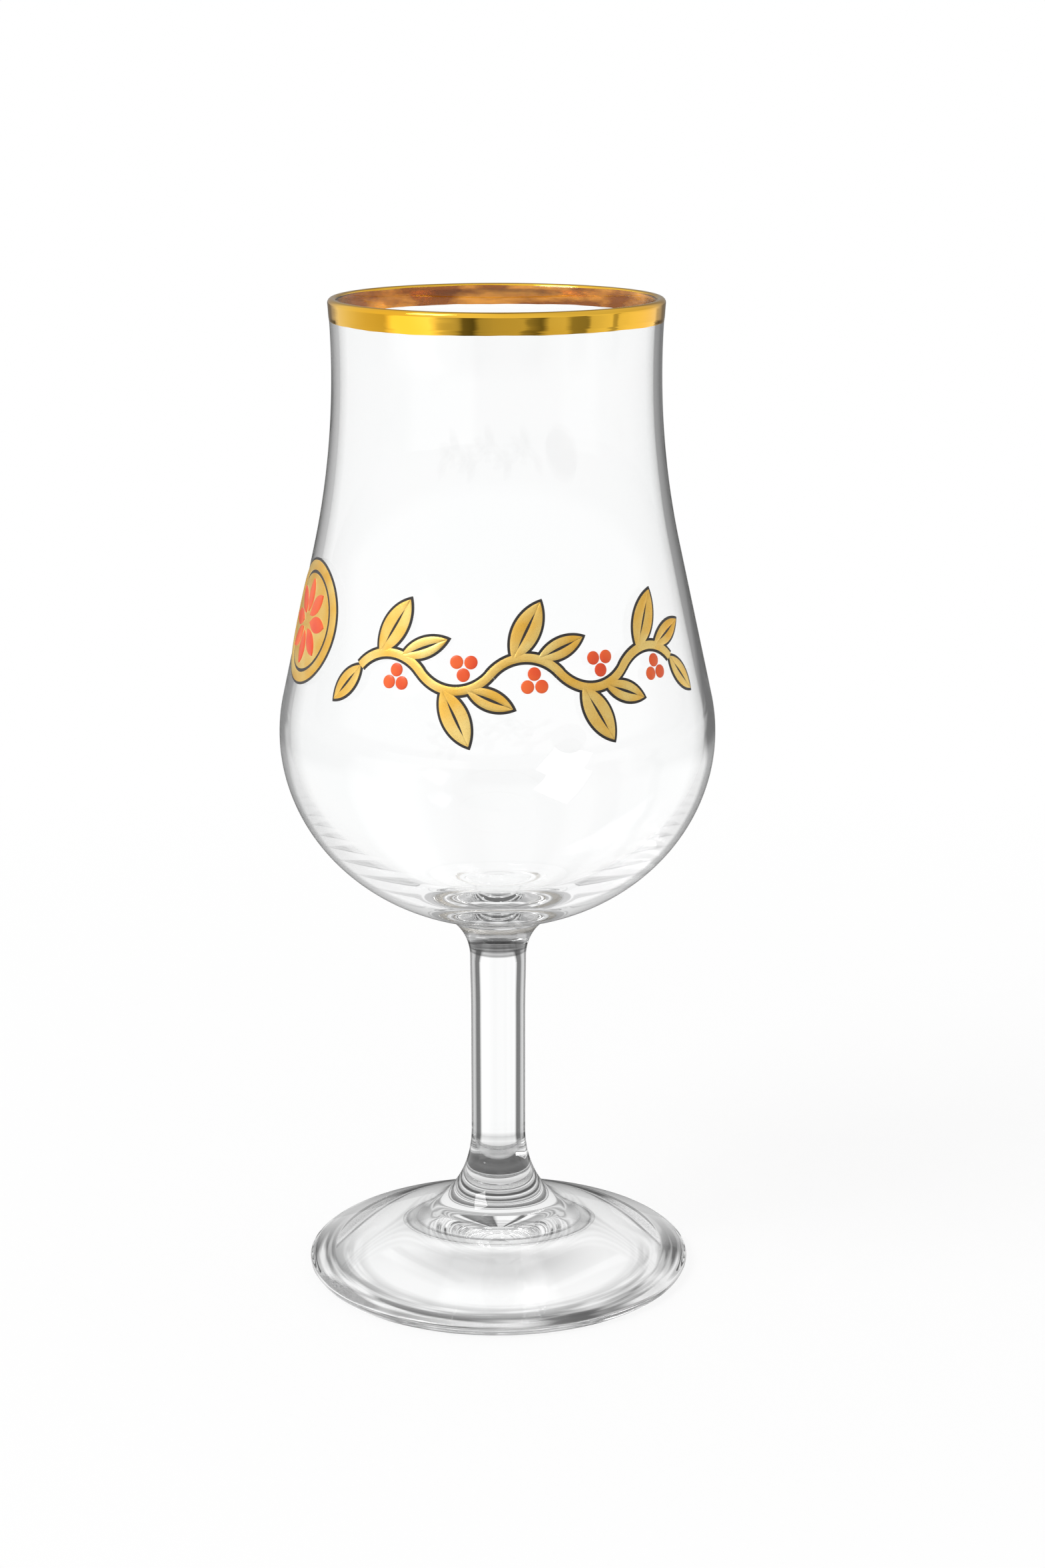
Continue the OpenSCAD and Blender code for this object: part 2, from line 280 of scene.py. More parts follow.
def around(radius, height):
    """Turns rows of radius and height about the axis: (r sin a, -r cos a, z) for each angle a."""
    a = np.arange(ROUND) * TURN / ROUND
    z = np.broadcast_to(height, (ROUND, len(height)))
    return np.stack([np.outer(np.sin(a), radius), -np.outer(np.cos(a), radius), z], axis=-1)


def turned_solid(name, outline, materials, weld=()):
    """Solid of revolution from an outline that starts and ends on the axis.

    The rows between its two poles become rings of points, joined ring to ring. Faces that end on a pole
    named in weld get the second material.
    """
    rings = outline[1:-1]
    m = len(rings)
    points = around(rings[:, 0], rings[:, 1]).reshape(-1, 3)
    poles = np.array([[0, 0, outline[0, 1]], [0, 0, outline[-1, 1]]])
    first, last = len(points), len(points) + 1
    a = np.arange(ROUND)
    b = (a + 1) % ROUND
    i = np.arange(m - 1)
    side = np.stack([
        a[:, None] * m + i, a[:, None] * m + i + 1, b[:, None] * m + i + 1, b[:, None] * m + i,
    ], axis=-1).reshape(-1, 4)
    top = np.stack([a * m, b * m, np.full(ROUND, first), np.full(ROUND, first)], axis=-1)
    end = np.stack([b * m + m - 1, a * m + m - 1, np.full(ROUND, last), np.full(ROUND, last)], axis=-1)
    quads = np.concatenate([side, top, end])
    slots = np.zeros(len(quads), int)
    slots[len(side):len(side) + ROUND] = "first" in weld
    slots[len(side) + ROUND:] = "last" in weld
    return add_piece(name, np.concatenate([points, poles]), quads, materials, slots)


def wobble(a, rows):
    """Sum of sine waves round the axis, as rows of (size, waves in a turn, start)."""
    return sum(size * np.sin(waves * a + start) for size, waves, start in rows)


def brushed_film(name, materials):
    """Gold film on the lip: for each angle, a closed section that wobbles at its two brushed edges.

    The section runs up the flare from the lower edge, with its points closer together there, over the lip's
    half circle, and back at the depth where the film meets the glass.
    """
    a = np.arange(ROUND)[:, None] * TURN / ROUND
    low = LIP_Z - BAND_H + wobble(a, BAND_WOBBLE)
    up = np.linspace(0, 1, 14)[None, :] ** 1.4
    over = LIP_WRAP + wobble(a, WRAP_WOBBLE)
    turn = np.linspace(0, 1, 26)[None, 1:]
    lip_a = LIP_A - math.pi + over * turn

    def skin(depth, edge_depth):
        """Both stretches at a depth outside the glass, which thins to edge_depth at the two edges."""
        out = depth + (edge_depth - depth) * (1 - ease(up / BAND_FADE))
        z = low + (LIP_END_Z - low) * up
        lean = bowl_lean(z)
        wall_r, wall_z = bowl_radius(z) + out * np.cos(lean), z + out * np.sin(lean)
        out = depth + (edge_depth - depth) * ease((turn - 1 + WRAP_FADE) / WRAP_FADE)
        lip_r, lip_z = LIP_C[0] + (LIP_R + out) * np.cos(lip_a), LIP_C[1] + (LIP_R + out) * np.sin(lip_a)
        return np.concatenate([wall_r, lip_r], axis=1), np.concatenate([wall_z, lip_z], axis=1)

    outer_r, outer_z = skin(GOLD_T, BRUSH_EDGE_T)
    inner_r, inner_z = skin(-SUNK, -SUNK)
    r = np.concatenate([outer_r, inner_r[:, ::-1]], axis=1)
    z = np.concatenate([outer_z, inner_z[:, ::-1]], axis=1)
    points = np.stack([r * np.sin(a), -r * np.cos(a), z], axis=-1)
    m = r.shape[1]
    i, j = np.meshgrid(np.arange(ROUND), np.arange(m), indexing="ij")
    p, q = (i + 1) % ROUND, (j + 1) % m
    quads = np.stack([i * m + j, p * m + j, p * m + q, i * m + q], axis=-1)
    slots = np.broadcast_to(np.arange(m) >= outer_r.shape[1], (ROUND, m))
    return add_piece(name, points.reshape(-1, 3), quads.reshape(-1, 4), materials, slots.ravel())


def on_bowl(flat, turn, middle_z, out):
    """Lays a flat drawing (x, y) on the bowl: height is middle_z + y, the turn adds the arcsine of x over the
    radius there, and the point moves out along the bowl's normal."""
    z = middle_z + flat[..., 1]
    r = bowl_radius(z)
    lean = bowl_lean(z)
    a = turn + np.arcsin(np.clip(flat[..., 0] / r, -1, 1))
    r = r + out * np.cos(lean)
    return np.stack([r * np.sin(a), -r * np.cos(a), z + out * np.sin(lean)], axis=-1)


def fired_layer(sheets):
    """Points and faces of closed slabs on the bowl.

    A sheet is (flat, turn, middle_z, under, over, ring): a grid of flat points that runs along first and to
    the left second, where it lies, how far its lower and its upper face stand out, and whether its first
    direction closes on itself. The rim between the two faces closes the slab.
    """
    points, quads, count = [], [], 0
    for flat, turn, middle_z, under, over, ring in sheets:
        n, m = flat.shape[:2]
        top = np.arange(n * m).reshape(n, m)
        if ring:
            top = np.concatenate([top, top[:1]])
        face = np.stack([top[:-1, :-1], top[1:, :-1], top[1:, 1:], top[:-1, 1:]], axis=-1).reshape(-1, 4)
        if ring:
            rims = [top[:, 0], top[::-1, -1]]
        else:
            rims = [np.concatenate([top[:, 0], top[-1, 1:], top[-2::-1, -1], top[0, -2::-1]])]
        low = n * m
        sides = [np.stack([r[:-1] + low, r[1:] + low, r[1:], r[:-1]], axis=-1) for r in rims]
        quads.append(count + np.concatenate([face, face[:, ::-1] + low] + sides))
        points.append(on_bowl(flat, turn, middle_z, over).reshape(-1, 3))
        points.append(on_bowl(flat, turn, middle_z, under).reshape(-1, 3))
        count += 2 * low
    return np.concatenate(points), np.concatenate(quads)


# Drawing of the print, in flat millimetres

VINE_Z = BELLY_Z + VINE_RISE
VINE_HALF = (SHOULDER_P[0] - (VINE_Z - SHOULDER_P[1]) * math.tan(SHOULDER_LEAN)) * math.sin(VINE_PITCH / 2)
VINE_R = VINE_HALF / math.sin(VINE_SLOPE)
VINE_C = np.array([0, -VINE_R * math.cos(VINE_SLOPE)])
MEDALLION_Z = BELLY_Z + MEDALLION_RISE


def layer_under(layer):
    """How far the lower face of a layer stands out, sunk a little into what carries it."""
    return ENAMEL_T * (layer - 1) - SUNK


def crowned(layer, rise, across):
    """Upper face of a layer: its thickness, plus a rise that is a half circle's height across the sheet."""
    return ENAMEL_T * layer + rise * np.sqrt(np.maximum(1 - across**2, 0))


def wave_turn(i):
    """Turn of the middle of one half wave."""
    return VINE_TURN + (i - (VINE_WAVES - 1) / 2) * VINE_PITCH


def hang(flat, i):
    """Mirrors the drawing of every other half wave below the middle line and keeps its faces outward."""
    return flat if i % 2 == 0 else (flat * [1, -1])[:, ::-1]


def leaf_half_width(y, length, width, grow):
    """Half width of a leaf of two arcs at a distance along it: each arc's radius is
    (length^2 + width^2) / (4 width) plus grow, from a centre off the other side of the midrib."""
    r = (length**2 + width**2) / (4 * width)
    return np.maximum(np.sqrt(np.maximum((r + grow)**2 - (y - length / 2)**2, 0)) - (r - width / 2), 0)


def leaf_line(length, width, grow, count=33):
    """Distances along a leaf, closer together at its two points."""
    r = (length**2 + width**2) / (4 * width)
    reach = math.sqrt((r + grow)**2 - (r - width / 2)**2)
    return length / 2 - reach * np.cos(np.linspace(0, math.pi, count))


def placed(along, left, base, direction):
    """Turns (along, left) of a leaf into the drawing, from its base in its direction."""
    c, s = math.cos(direction), math.sin(direction)
    return np.stack([base[0] + along * c - left * s, base[1] + along * s + left * c], axis=-1)


def whole_leaf(size, base, direction, grow):
    """A leaf from edge to edge, which grow makes wider all round."""
    along = leaf_line(*size, grow)
    half = leaf_half_width(along, *size, grow) + 2 * HAIR
    across = np.linspace(-1, 1, 9)
    return placed(along[:, None] + 0 * across, half[:, None] * across, base, direction)


def split_leaf(size, base, direction):
    """The two halves of a leaf beside its vein, which is a thin leaf itself."""
    length, width = size
    along = leaf_line(length, width, 0)
    half = leaf_half_width(along, length, width, 0) + 2 * HAIR
    vein_at = along - VEIN_START * length
    vein = leaf_half_width(vein_at, VEIN_LEN * length, VEIN_W, 0)
    vein = np.where((vein_at > 0) & (vein_at < VEIN_LEN * length), vein, 0) + HAIR
    across = np.linspace(0, 1, 7)
    left = vein[:, None] + (half - vein)[:, None] * across
    along = along[:, None] + 0 * across
    return placed(along, left, base, direction), placed(along, -left[:, ::-1], base, direction)


def wave_leaves(i):
    """Size, base and direction of the leaves on one half wave, counted along the stalk from its crest."""
    rows = [(LEAF, -LEAF_PLACE, LEAF_LEAN), (TRAIL, LEAF_PLACE, TRAIL_LEAN)]
    if i == 0:
        rows.append((TRAIL, -VINE_SLOPE, math.pi))
    if i == VINE_WAVES - 1:
        rows.append((TRAIL, VINE_SLOPE, 0))
    return [
        (size, VINE_C + VINE_R * np.array([math.sin(place), math.cos(place)]), off - place)
        for size, place, off in rows
    ]


def stalk_sheet(grow):
    """One half wave of stalk: an arc about the wave's centre, with its width across the arc's radius."""
    a = np.linspace(-VINE_SLOPE, VINE_SLOPE, 33)[:, None]
    r = VINE_R + (STALK_W / 2 + grow) * np.linspace(-1, 1, 7)[None, :]
    return VINE_C + np.stack([r * np.sin(a), r * np.cos(a)], axis=-1)


def disc(radius, centre=(0, 0), count=25):
    """A square grid (u, v) pressed into a circle: x is u times the root of 1 - v^2 / 2, and y likewise."""
    u, v = np.meshgrid(np.linspace(-1, 1, count), np.linspace(-1, 1, count), indexing="ij")
    flat = np.stack([u * np.sqrt(1 - v * v / 2), v * np.sqrt(1 - u * u / 2)], axis=-1)
    return np.array(centre) + radius * flat


def hoop(outer, inner, count=128, rows=5):
    """A ring between two radii, from its outer to its inner border."""
    a = np.arange(count)[:, None] * TURN / count
    r = np.linspace(outer, inner, rows)[None, :]
    return np.stack([r * np.cos(a), r * np.sin(a)], axis=-1)


def dome(flat, centre, radius, layer, rise):
    """Upper face of a round drop: half a circle's height over the distance from its middle."""
    return crowned(layer, rise, np.linalg.norm(flat - np.array(centre), axis=-1) / radius)


def vine_outline_sheets():
    """Dark ground of each half wave: its stalk and whole leaves, wider than the gold by the line."""
    sheets = []
    for i in range(VINE_WAVES):
        flats = [stalk_sheet(LINE_W)]
        flats += [whole_leaf(*leaf, LINE_W) for leaf in wave_leaves(i)]
        sheets += [(hang(f, i), wave_turn(i), VINE_Z, layer_under(1), ENAMEL_T, False) for f in flats]
    return sheets


def vine_gold_sheets():
    """Gold of each half wave: its stalk, and its leaves in halves, all crowned across."""
    sheets = []
    over = crowned(2, VINE_CROWN, np.linspace(-1, 1, 7))
    for i in range(VINE_WAVES):
        flats = [stalk_sheet(0)]
        for leaf in wave_leaves(i):
            flats += split_leaf(*leaf)
        sheets += [(hang(f, i), wave_turn(i), VINE_Z, layer_under(2), over, False) for f in flats]
    return sheets


def vine_berry_sheets():
    """Three round berries in the bend of each half wave."""
    sheets = []
    drop = STALK_W / 2 + 2 * LINE_W + BERRY_R
    middle = np.array([VINE_HALF / 4, VINE_R + VINE_C[1] - drop - BERRY_APART])
    for i in range(VINE_WAVES):
        for turn in BERRY_TURNS:
            centre = middle + BERRY_APART * np.array([math.cos(turn), math.sin(turn)])
            flat = disc(BERRY_R, centre, 17)
            over = dome(flat, centre, BERRY_R, 1, BERRY_CROWN)
            over = over if i % 2 == 0 else over[:, ::-1]
            sheets.append((hang(flat, i), wave_turn(i), VINE_Z, layer_under(1), over, False))
    return sheets


def medallion_sheet(flat, layer, over, ring=False):
    """A drawing laid where the medallion is."""
    return flat, MEDALLION_TURN, MEDALLION_Z, layer_under(layer), over, ring


def medallion_ground_sheets():
    """Dark disc under the gold, wider than the gold by the line."""
    return [medallion_sheet(disc(MEDALLION_R + LINE_W, count=49), 1, ENAMEL_T)]


def medallion_gold_sheets():
    """Gold border and gold field, with the dark ground left open between them."""
    inner = MEDALLION_RING_R - MEDALLION_RING_W
    field = disc(inner, count=49)
    border = hoop(MEDALLION_R, MEDALLION_RING_R)
    return [
        medallion_sheet(border, 2, crowned(2, BORDER_CROWN, np.linspace(-1, 1, 5)), True),
        medallion_sheet(field, 2, dome(field, (0, 0), inner, 2, FIELD_CROWN)),
    ]


def rosette_sheets():
    """Petals as leaves that point outwards from the eye, evenly round it."""
    ways = math.pi / 2 + np.arange(PETALS) * TURN / PETALS
    over = crowned(3, PETAL_CROWN, np.linspace(-1, 1, 9))
    bases = EYE_R * np.stack([np.cos(ways), np.sin(ways)], axis=-1)
    petals = [whole_leaf((PETAL_LEN, PETAL_W), base, way, 0) for base, way in zip(bases, ways)]
    return [medallion_sheet(petal, 3, over) for petal in petals]


# Materials

def new_material(name):
    """A named material with its Principled shader and node tree."""
    material = bpy.data.materials.new(name)
    material.use_nodes = True
    return material, material.node_tree, material.node_tree.nodes["Principled BSDF"]


def feed(tree, value, socket):
    """Gives a socket a number or a colour of its own, or links another socket to it."""
    if isinstance(value, tuple):
        socket.default_value = (*value, 1)
    elif isinstance(value, (int, float)):
        socket.default_value = value
    else:
        tree.links.new(value, socket)


def noise(tree, vector, scale, detail):
    """Blender's noise over a vector."""
    node = tree.nodes.new("ShaderNodeTexNoise")
    node.inputs["Detail"].default_value = detail
    feed(tree, scale, node.inputs["Scale"])
    feed(tree, vector, node.inputs["Vector"])
    return node.outputs[0]


def spread(tree, value, low, high, to_low, to_high):
    """Stretches a value between two limits onto a new range, and holds it there."""
    node = tree.nodes.new("ShaderNodeMapRange")
    names = ("Value", "From Min", "From Max", "To Min", "To Max")
    for name, number in zip(names, (value, low, high, to_low, to_high)):
        feed(tree, number, node.inputs[name])
    return node.outputs[0]


def fade(tree, value, limits):
    """0 up to the first limit and 1 from the second on."""
    return spread(tree, value, *limits, 0, 1)


def grey(level):
    """The same level for red, green and blue."""
    return level, level, level


def blend(tree, share, first, second, kind="MIX"):
    """Colour between two, by a share from 0 to 1."""
    node = tree.nodes.new("ShaderNodeMix")
    node.data_type = "RGBA"
    node.blend_type = kind
    for name, value in (("Factor", share), ("A", first), ("B", second)):
        feed(tree, value, node.inputs[name])
    return node.outputs["Result"]


def times(tree, first, second):
    """One colour times another."""
    return blend(tree, 1, first, second, "MULTIPLY")


def panels(tree, share, stops):
    """Brightness at a share from 0 to 1, straight from stop to stop."""
    node = tree.nodes.new("ShaderNodeValToRGB")
    ramp = node.color_ramp
    while len(ramp.elements) < len(stops):
        ramp.elements.new(1)
    for element, (place, level) in zip(ramp.elements, stops):
        element.position = place
        element.color = (*grey(level), 1)
    tree.links.new(share, node.inputs["Fac"])
    return node.outputs["Color"]


def worked(tree, kind, operation, *values):
    """One step of arithmetic in a node. The length of a vector comes out as a number."""
    node = tree.nodes.new(kind)
    node.operation = operation
    for socket, value in zip(node.inputs, values):
        feed(tree, value, socket)
    return node.outputs["Value" if operation == "LENGTH" else 0]


def math_step(tree, operation, *values):
    """One step of arithmetic on numbers."""
    return worked(tree, "ShaderNodeMath", operation, *values)


def vector_step(tree, operation, *values):
    """One step of arithmetic on vectors."""
    return worked(tree, "ShaderNodeVectorMath", operation, *values)


def coordinates(tree, where):
    """The three coordinates of a place."""
    node = tree.nodes.new("ShaderNodeSeparateXYZ")
    tree.links.new(where, node.inputs[0])
    return node.outputs


def past(tree, value, limit):
    """1 where a value is over a limit, else 0."""
    return math_step(tree, "GREATER_THAN", value, limit)


def relief(tree, height, shader, strength, distance):
    """Raises the surface by a height, as a bump on the shader's normal."""
    bump = tree.nodes.new("ShaderNodeBump")
    bump.inputs["Strength"].default_value = strength
    bump.inputs["Distance"].default_value = distance
    tree.links.new(height, bump.inputs["Height"])
    tree.links.new(bump.outputs["Normal"], shader.inputs["Normal"])


def new_group(name, inputs, outputs):
    """A shader node group with named number inputs and outputs, and Object coordinates inside."""
    group = bpy.data.node_groups.new(name, "ShaderNodeTree")
    for label, value in inputs.items():
        group.interface.new_socket(label, in_out="INPUT", socket_type="NodeSocketFloat").default_value = value
    for label in outputs:
        group.interface.new_socket(label, in_out="OUTPUT", socket_type="NodeSocketFloat")
    entry = group.nodes.new("NodeGroupInput")
    leave = group.nodes.new("NodeGroupOutput")
    where = group.nodes.new("ShaderNodeTexCoord").outputs["Object"]
    return group, entry, leave, where


def fired_grain():
    """Grain of a fired print: fine specks of the powder, and slow clouds where it was laid thicker."""
    group, entry, leave, where = new_group(
        "fired_grain", {"Speck size": 9000, "Cloud size": 260}, ["Specks", "Clouds"])
    specks = noise(group, where, entry.outputs["Speck size"], 3)
    clouds = noise(group, where, entry.outputs["Cloud size"], 2)
    group.links.new(fade(group, specks, (0.3, 0.7)), leave.inputs["Specks"])
    group.links.new(fade(group, clouds, (0.35, 0.65)), leave.inputs["Clouds"])
    return group


def brush_strokes():
    """Strokes of the gilder's brush, drawn out round the lip by squeezing the noise along the axis."""
    group, entry, leave, where = new_group(
        "brush_strokes", {"Stroke size": 60, "Squeeze": 14}, ["Strokes", "Pools"])
    squeeze = group.nodes.new("ShaderNodeCombineXYZ")
    squeeze.inputs["X"].default_value = 1
    squeeze.inputs["Y"].default_value = 1
    group.links.new(entry.outputs["Squeeze"], squeeze.inputs["Z"])
    squeezed = vector_step(group, "MULTIPLY", where, squeeze.outputs[0])
    strokes = noise(group, squeezed, entry.outputs["Stroke size"], 4)
    pools = noise(group, where, 90, 1)
    group.links.new(fade(group, strokes, (0.3, 0.7)), leave.inputs["Strokes"])
    group.links.new(fade(group, pools, (0.35, 0.65)), leave.inputs["Pools"])
    return group


def place_group(tree, group, **values):
    """Places a group in a material, with its own values."""
    node = tree.nodes.new("ShaderNodeGroup")
    node.node_tree = group
    for label, value in values.items():
        node.inputs[label.replace("_", " ")].default_value = value
    return node


# Painted shade of glass that is seen edge on, standing in for the dark that real glass refracts there, as
# rows of (turn from the viewer, grey): the bowl's thin wall and the solid rod
WALL_EDGE_SHADE = [(0.0, 1), (0.56, 1), (0.66, 0.67), (0.78, 0.44), (1, 0.36)]
ROD_EDGE_SHADE = [
    (0.0, 1), (0.25, 1), (0.31, 0.03), (0.44, 0.02), (0.5, 0.25), (0.6, 0.4), (0.68, 0.08), (0.8, 0.3),
    (1, 0.5),
]
# Painted shade rings where the rod meets the bowl and the foot, greys from the lowest up, standing in for the
# dark that the glass refracts there
NECK_SHADE_RINGS = [
    (0.0, 1), (0.03, 1), (0.08, 0.12), (0.16, 0.35), (0.22, 0.06), (0.3, 0.3), (0.38, 0.08), (0.48, 0.3),
    (0.6, 0.15), (0.85, 0.3), (1, 1),
]
HUB_SHADE_RINGS = [
    (0.0, 1), (0.08, 0.5), (0.16, 0.9), (0.25, 0.35), (0.33, 0.75), (0.42, 0.4), (0.55, 0.8), (0.65, 0.45),
    (0.78, 0.8), (0.9, 0.5), (1, 1),
]
# Heights over which each piece's painted edge shade comes in, and between which its painted shade rings lie
WALL_EDGE_Z = (BOWL_WELD_Z + 10, BOWL_WELD_Z + 20)
NECK_EDGE_Z = (BOWL_WELD_Z + 2.4, BOWL_WELD_Z + 1.4)
NECK_SHADE_RINGS_Z = (BOWL_WELD_Z + 0.6, BOWL_WELD_Z + 4.8)
STEM_EDGE_Z = (HUB_H - 1, HUB_H)
HUB_EDGE_Z = (HUB_H - 2.6, HUB_H - 0.6)
HUB_SHADE_RINGS_Z = (HUB_H - 7.1, HUB_H - 1.1)


def clear_glass(name, edges, lines=None):
    """Clear glass with the slight waves of the melt in its surface, and painted shade where it is seen edge
    on.

    Each edge is two heights and a row of painted greys over the turn from the viewer. It holds from the
    second height on, and fades to none at the first. Lines are two heights, and the greys of the painted
    shade rings between them, which stand in for the dark that the glass refracts where the rod meets the bowl
    and the foot. Glass that is seen through other glass stays clear.
    """
    material, tree, shader = new_material(name)
    shader.inputs["Roughness"].default_value = 0
    shader.inputs["IOR"].default_value = 1.5
    shader.inputs["Transmission Weight"].default_value = 1
    where = tree.nodes.new("ShaderNodeTexCoord").outputs["Object"]
    melt = noise(tree, where, 70, 1)
    body = blend(tree, fade(tree, melt, (0.3, 0.7)), (0.99, 0.996, 0.996), grey(1))
    facing = tree.nodes.new("ShaderNodeLayerWeight").outputs["Facing"]
    height = math_step(tree, "DIVIDE", coordinates(tree, where)["Z"], MM)
    greyed = body
    # Painted shade: the glass greys where it is seen edge on, by each edge's row of greys
    for heights, stops in edges:
        shade = blend(tree, fade(tree, height, heights), grey(1), panels(tree, facing, stops))
        greyed = times(tree, greyed, shade)
    # Painted shade rings by height, at the welds
    if lines:
        heights, stops = lines
        greyed = times(tree, greyed, panels(tree, fade(tree, height, heights), stops))
    behind = past(tree, tree.nodes.new("ShaderNodeLightPath").outputs["Transmission Depth"], 1.5)
    tree.links.new(blend(tree, behind, greyed, body), shader.inputs["Base Color"])
    relief(tree, melt, shader, 1, 0.00002)
    return material


def fused_weld():
    """Where two pieces of glass are fused no face is left, so nothing shows."""
    material, tree, shader = new_material("fused_weld")
    shader.inputs["Alpha"].default_value = 0
    return material


def faint_in_mirrors(tree, colour):
    """The colour itself, and nearly white to light that a wall of the glass mirrored first."""
    mirrored = past(tree, tree.nodes.new("ShaderNodeLightPath").outputs["Glossy Depth"], 0.5)
    return blend(tree, mirrored, colour, (0.95, 0.94, 0.92))


def gilding(name, strokes, thin, thick, smooth, rough):
    """Bright gold with brush strokes in its colour and gloss."""
    material, tree, shader = new_material(name)
    shader.inputs["Metallic"].default_value = 1
    brush = place_group(tree, strokes)
    tree.links.new(blend(tree, brush.outputs["Pools"], thin, thick), shader.inputs["Base Color"])
    tree.links.new(spread(tree, brush.outputs["Strokes"], 0, 1, smooth, rough), shader.inputs["Roughness"])
    relief(tree, brush.outputs["Strokes"], shader, 0.25, 0.00001)
    return material


def film_back(strokes):
    """Back of the gold film, seen through the wall: copper in dark and bright mottles, partly the film's
    uneven back and partly painted reflection of the surroundings.
    """
    material, tree, shader = new_material("gold_back")
    shader.inputs["Metallic"].default_value = 1
    brush = place_group(tree, strokes, Stroke_size=130, Squeeze=3)
    # Painted reflection: the dark and bright copper mottles partly stand in for the surroundings that the
    # film's back mirrors
    mottle = fade(tree, brush.outputs["Strokes"], (0.3, 0.7))
    copper = blend(tree, mottle, (0.30, 0.085, 0.008), (0.86, 0.36, 0.05))
    tree.links.new(faint_in_mirrors(tree, copper), shader.inputs["Base Color"])
    tree.links.new(spread(tree, brush.outputs["Pools"], 0, 1, 0.06, 0.16), shader.inputs["Roughness"])
    relief(tree, brush.outputs["Strokes"], shader, 0.25, 0.00001)
    return material


def satin_gold(grain):
    """Print gold: a pale and a deeper gold in slow clouds, with powder specks that break up its gloss."""
    material, tree, shader = new_material("satin_gold")
    shader.inputs["Metallic"].default_value = 1
    fired = place_group(tree, grain)
    cloud = blend(tree, fired.outputs["Clouds"], (0.96, 0.71, 0.25), (0.92, 0.53, 0.09))
    dusk = blend(tree, spread(tree, fired.outputs["Specks"], 0.55, 1, 0, 0.35), cloud, (0.58, 0.35, 0.08))
    tree.links.new(faint_in_mirrors(tree, dusk), shader.inputs["Base Color"])
    tree.links.new(spread(tree, fired.outputs["Specks"], 0, 1, 0.3, 0.5), shader.inputs["Roughness"])
    relief(tree, fired.outputs["Specks"], shader, 0.35, 0.00003)
    return material


def enamel(name, grain, first, second, smooth, rough, coat):
    """Fired enamel: two near tones in slow clouds, and gloss that the powder's grain breaks up."""
    material, tree, shader = new_material(name)
    shader.inputs["Coat Weight"].default_value = coat
    shader.inputs["Coat Roughness"].default_value = 0.08
    fired = place_group(tree, grain)
    tone = blend(tree, fired.outputs["Clouds"], first, second)
    tree.links.new(faint_in_mirrors(tree, tone), shader.inputs["Base Color"])
    tree.links.new(spread(tree, fired.outputs["Specks"], 0, 1, smooth, rough), shader.inputs["Roughness"])
    relief(tree, fired.outputs["Specks"], shader, 0.2, 0.00002)
    return material


# Painted shade at the edges of all three glass pieces, and painted shade rings at the welds of the bowl and
# the foot
bowl_glass = clear_glass(
    "bowl_glass", [(WALL_EDGE_Z, WALL_EDGE_SHADE), (NECK_EDGE_Z, ROD_EDGE_SHADE)], (NECK_SHADE_RINGS_Z, NECK_SHADE_RINGS))
stem_glass = clear_glass("stem_glass", [(STEM_EDGE_Z, ROD_EDGE_SHADE)])
foot_glass = clear_glass("foot_glass", [(HUB_EDGE_Z, ROD_EDGE_SHADE)], (HUB_SHADE_RINGS_Z, HUB_SHADE_RINGS))
weld = fused_weld()
strokes = brush_strokes()
grain = fired_grain()
gold_face = gilding("bright_gold", strokes, (0.94, 0.55, 0.06), (0.88, 0.46, 0.03), 0.01, 0.05)
gold_back = film_back(strokes)
gold_print = satin_gold(grain)
black = enamel("black_enamel", grain, (0.012, 0.010, 0.009), (0.028, 0.022, 0.018), 0.3, 0.5, 0)
red = enamel("red_enamel", grain, (0.76, 0.058, 0.004), (0.86, 0.13, 0.016), 0.3, 0.5, 0.12)


def dress(piece, node):
    """The piece stands for a node of the part, which is hidden."""
    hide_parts(node)


def printed(name, sheets, material, node):
    """A fired layer as a piece."""
    dress(add_piece(name, *fired_layer(sheets), [material]), node)


bowl = turned_solid("glass_bowl", bowl_outline(), [bowl_glass, weld], weld=("last",))
stem = turned_solid("glass_stem", stem_outline(), [stem_glass, weld], weld=("first", "last"))
foot = turned_solid("glass_foot", foot_outline(), [foot_glass, weld], weld=("first",))
lip = brushed_film("gilded_lip", [gold_face, gold_back])
dress(bowl, "bowl")
dress(stem, "stem")
dress(foot, "foot")
dress(lip, "lip_gold")

printed("vine_ground", vine_outline_sheets(), black, "vine_outline")
printed("vine_gilding", vine_gold_sheets(), gold_print, "vine_gold")
printed("vine_berry_drops", vine_berry_sheets(), red, "vine_berries")
printed("medallion_ground", medallion_ground_sheets(), black, "medallion_outline")
printed("medallion_gilding", medallion_gold_sheets(), gold_print, "medallion_field")
printed("medallion_petals", rosette_sheets(), red, "medallion_rosette")


# Stage: a pale floor and a white surround, both with greyer gaps that glass and gold show, painted shadow on
# the floor that only glass shows, and one soft lamp

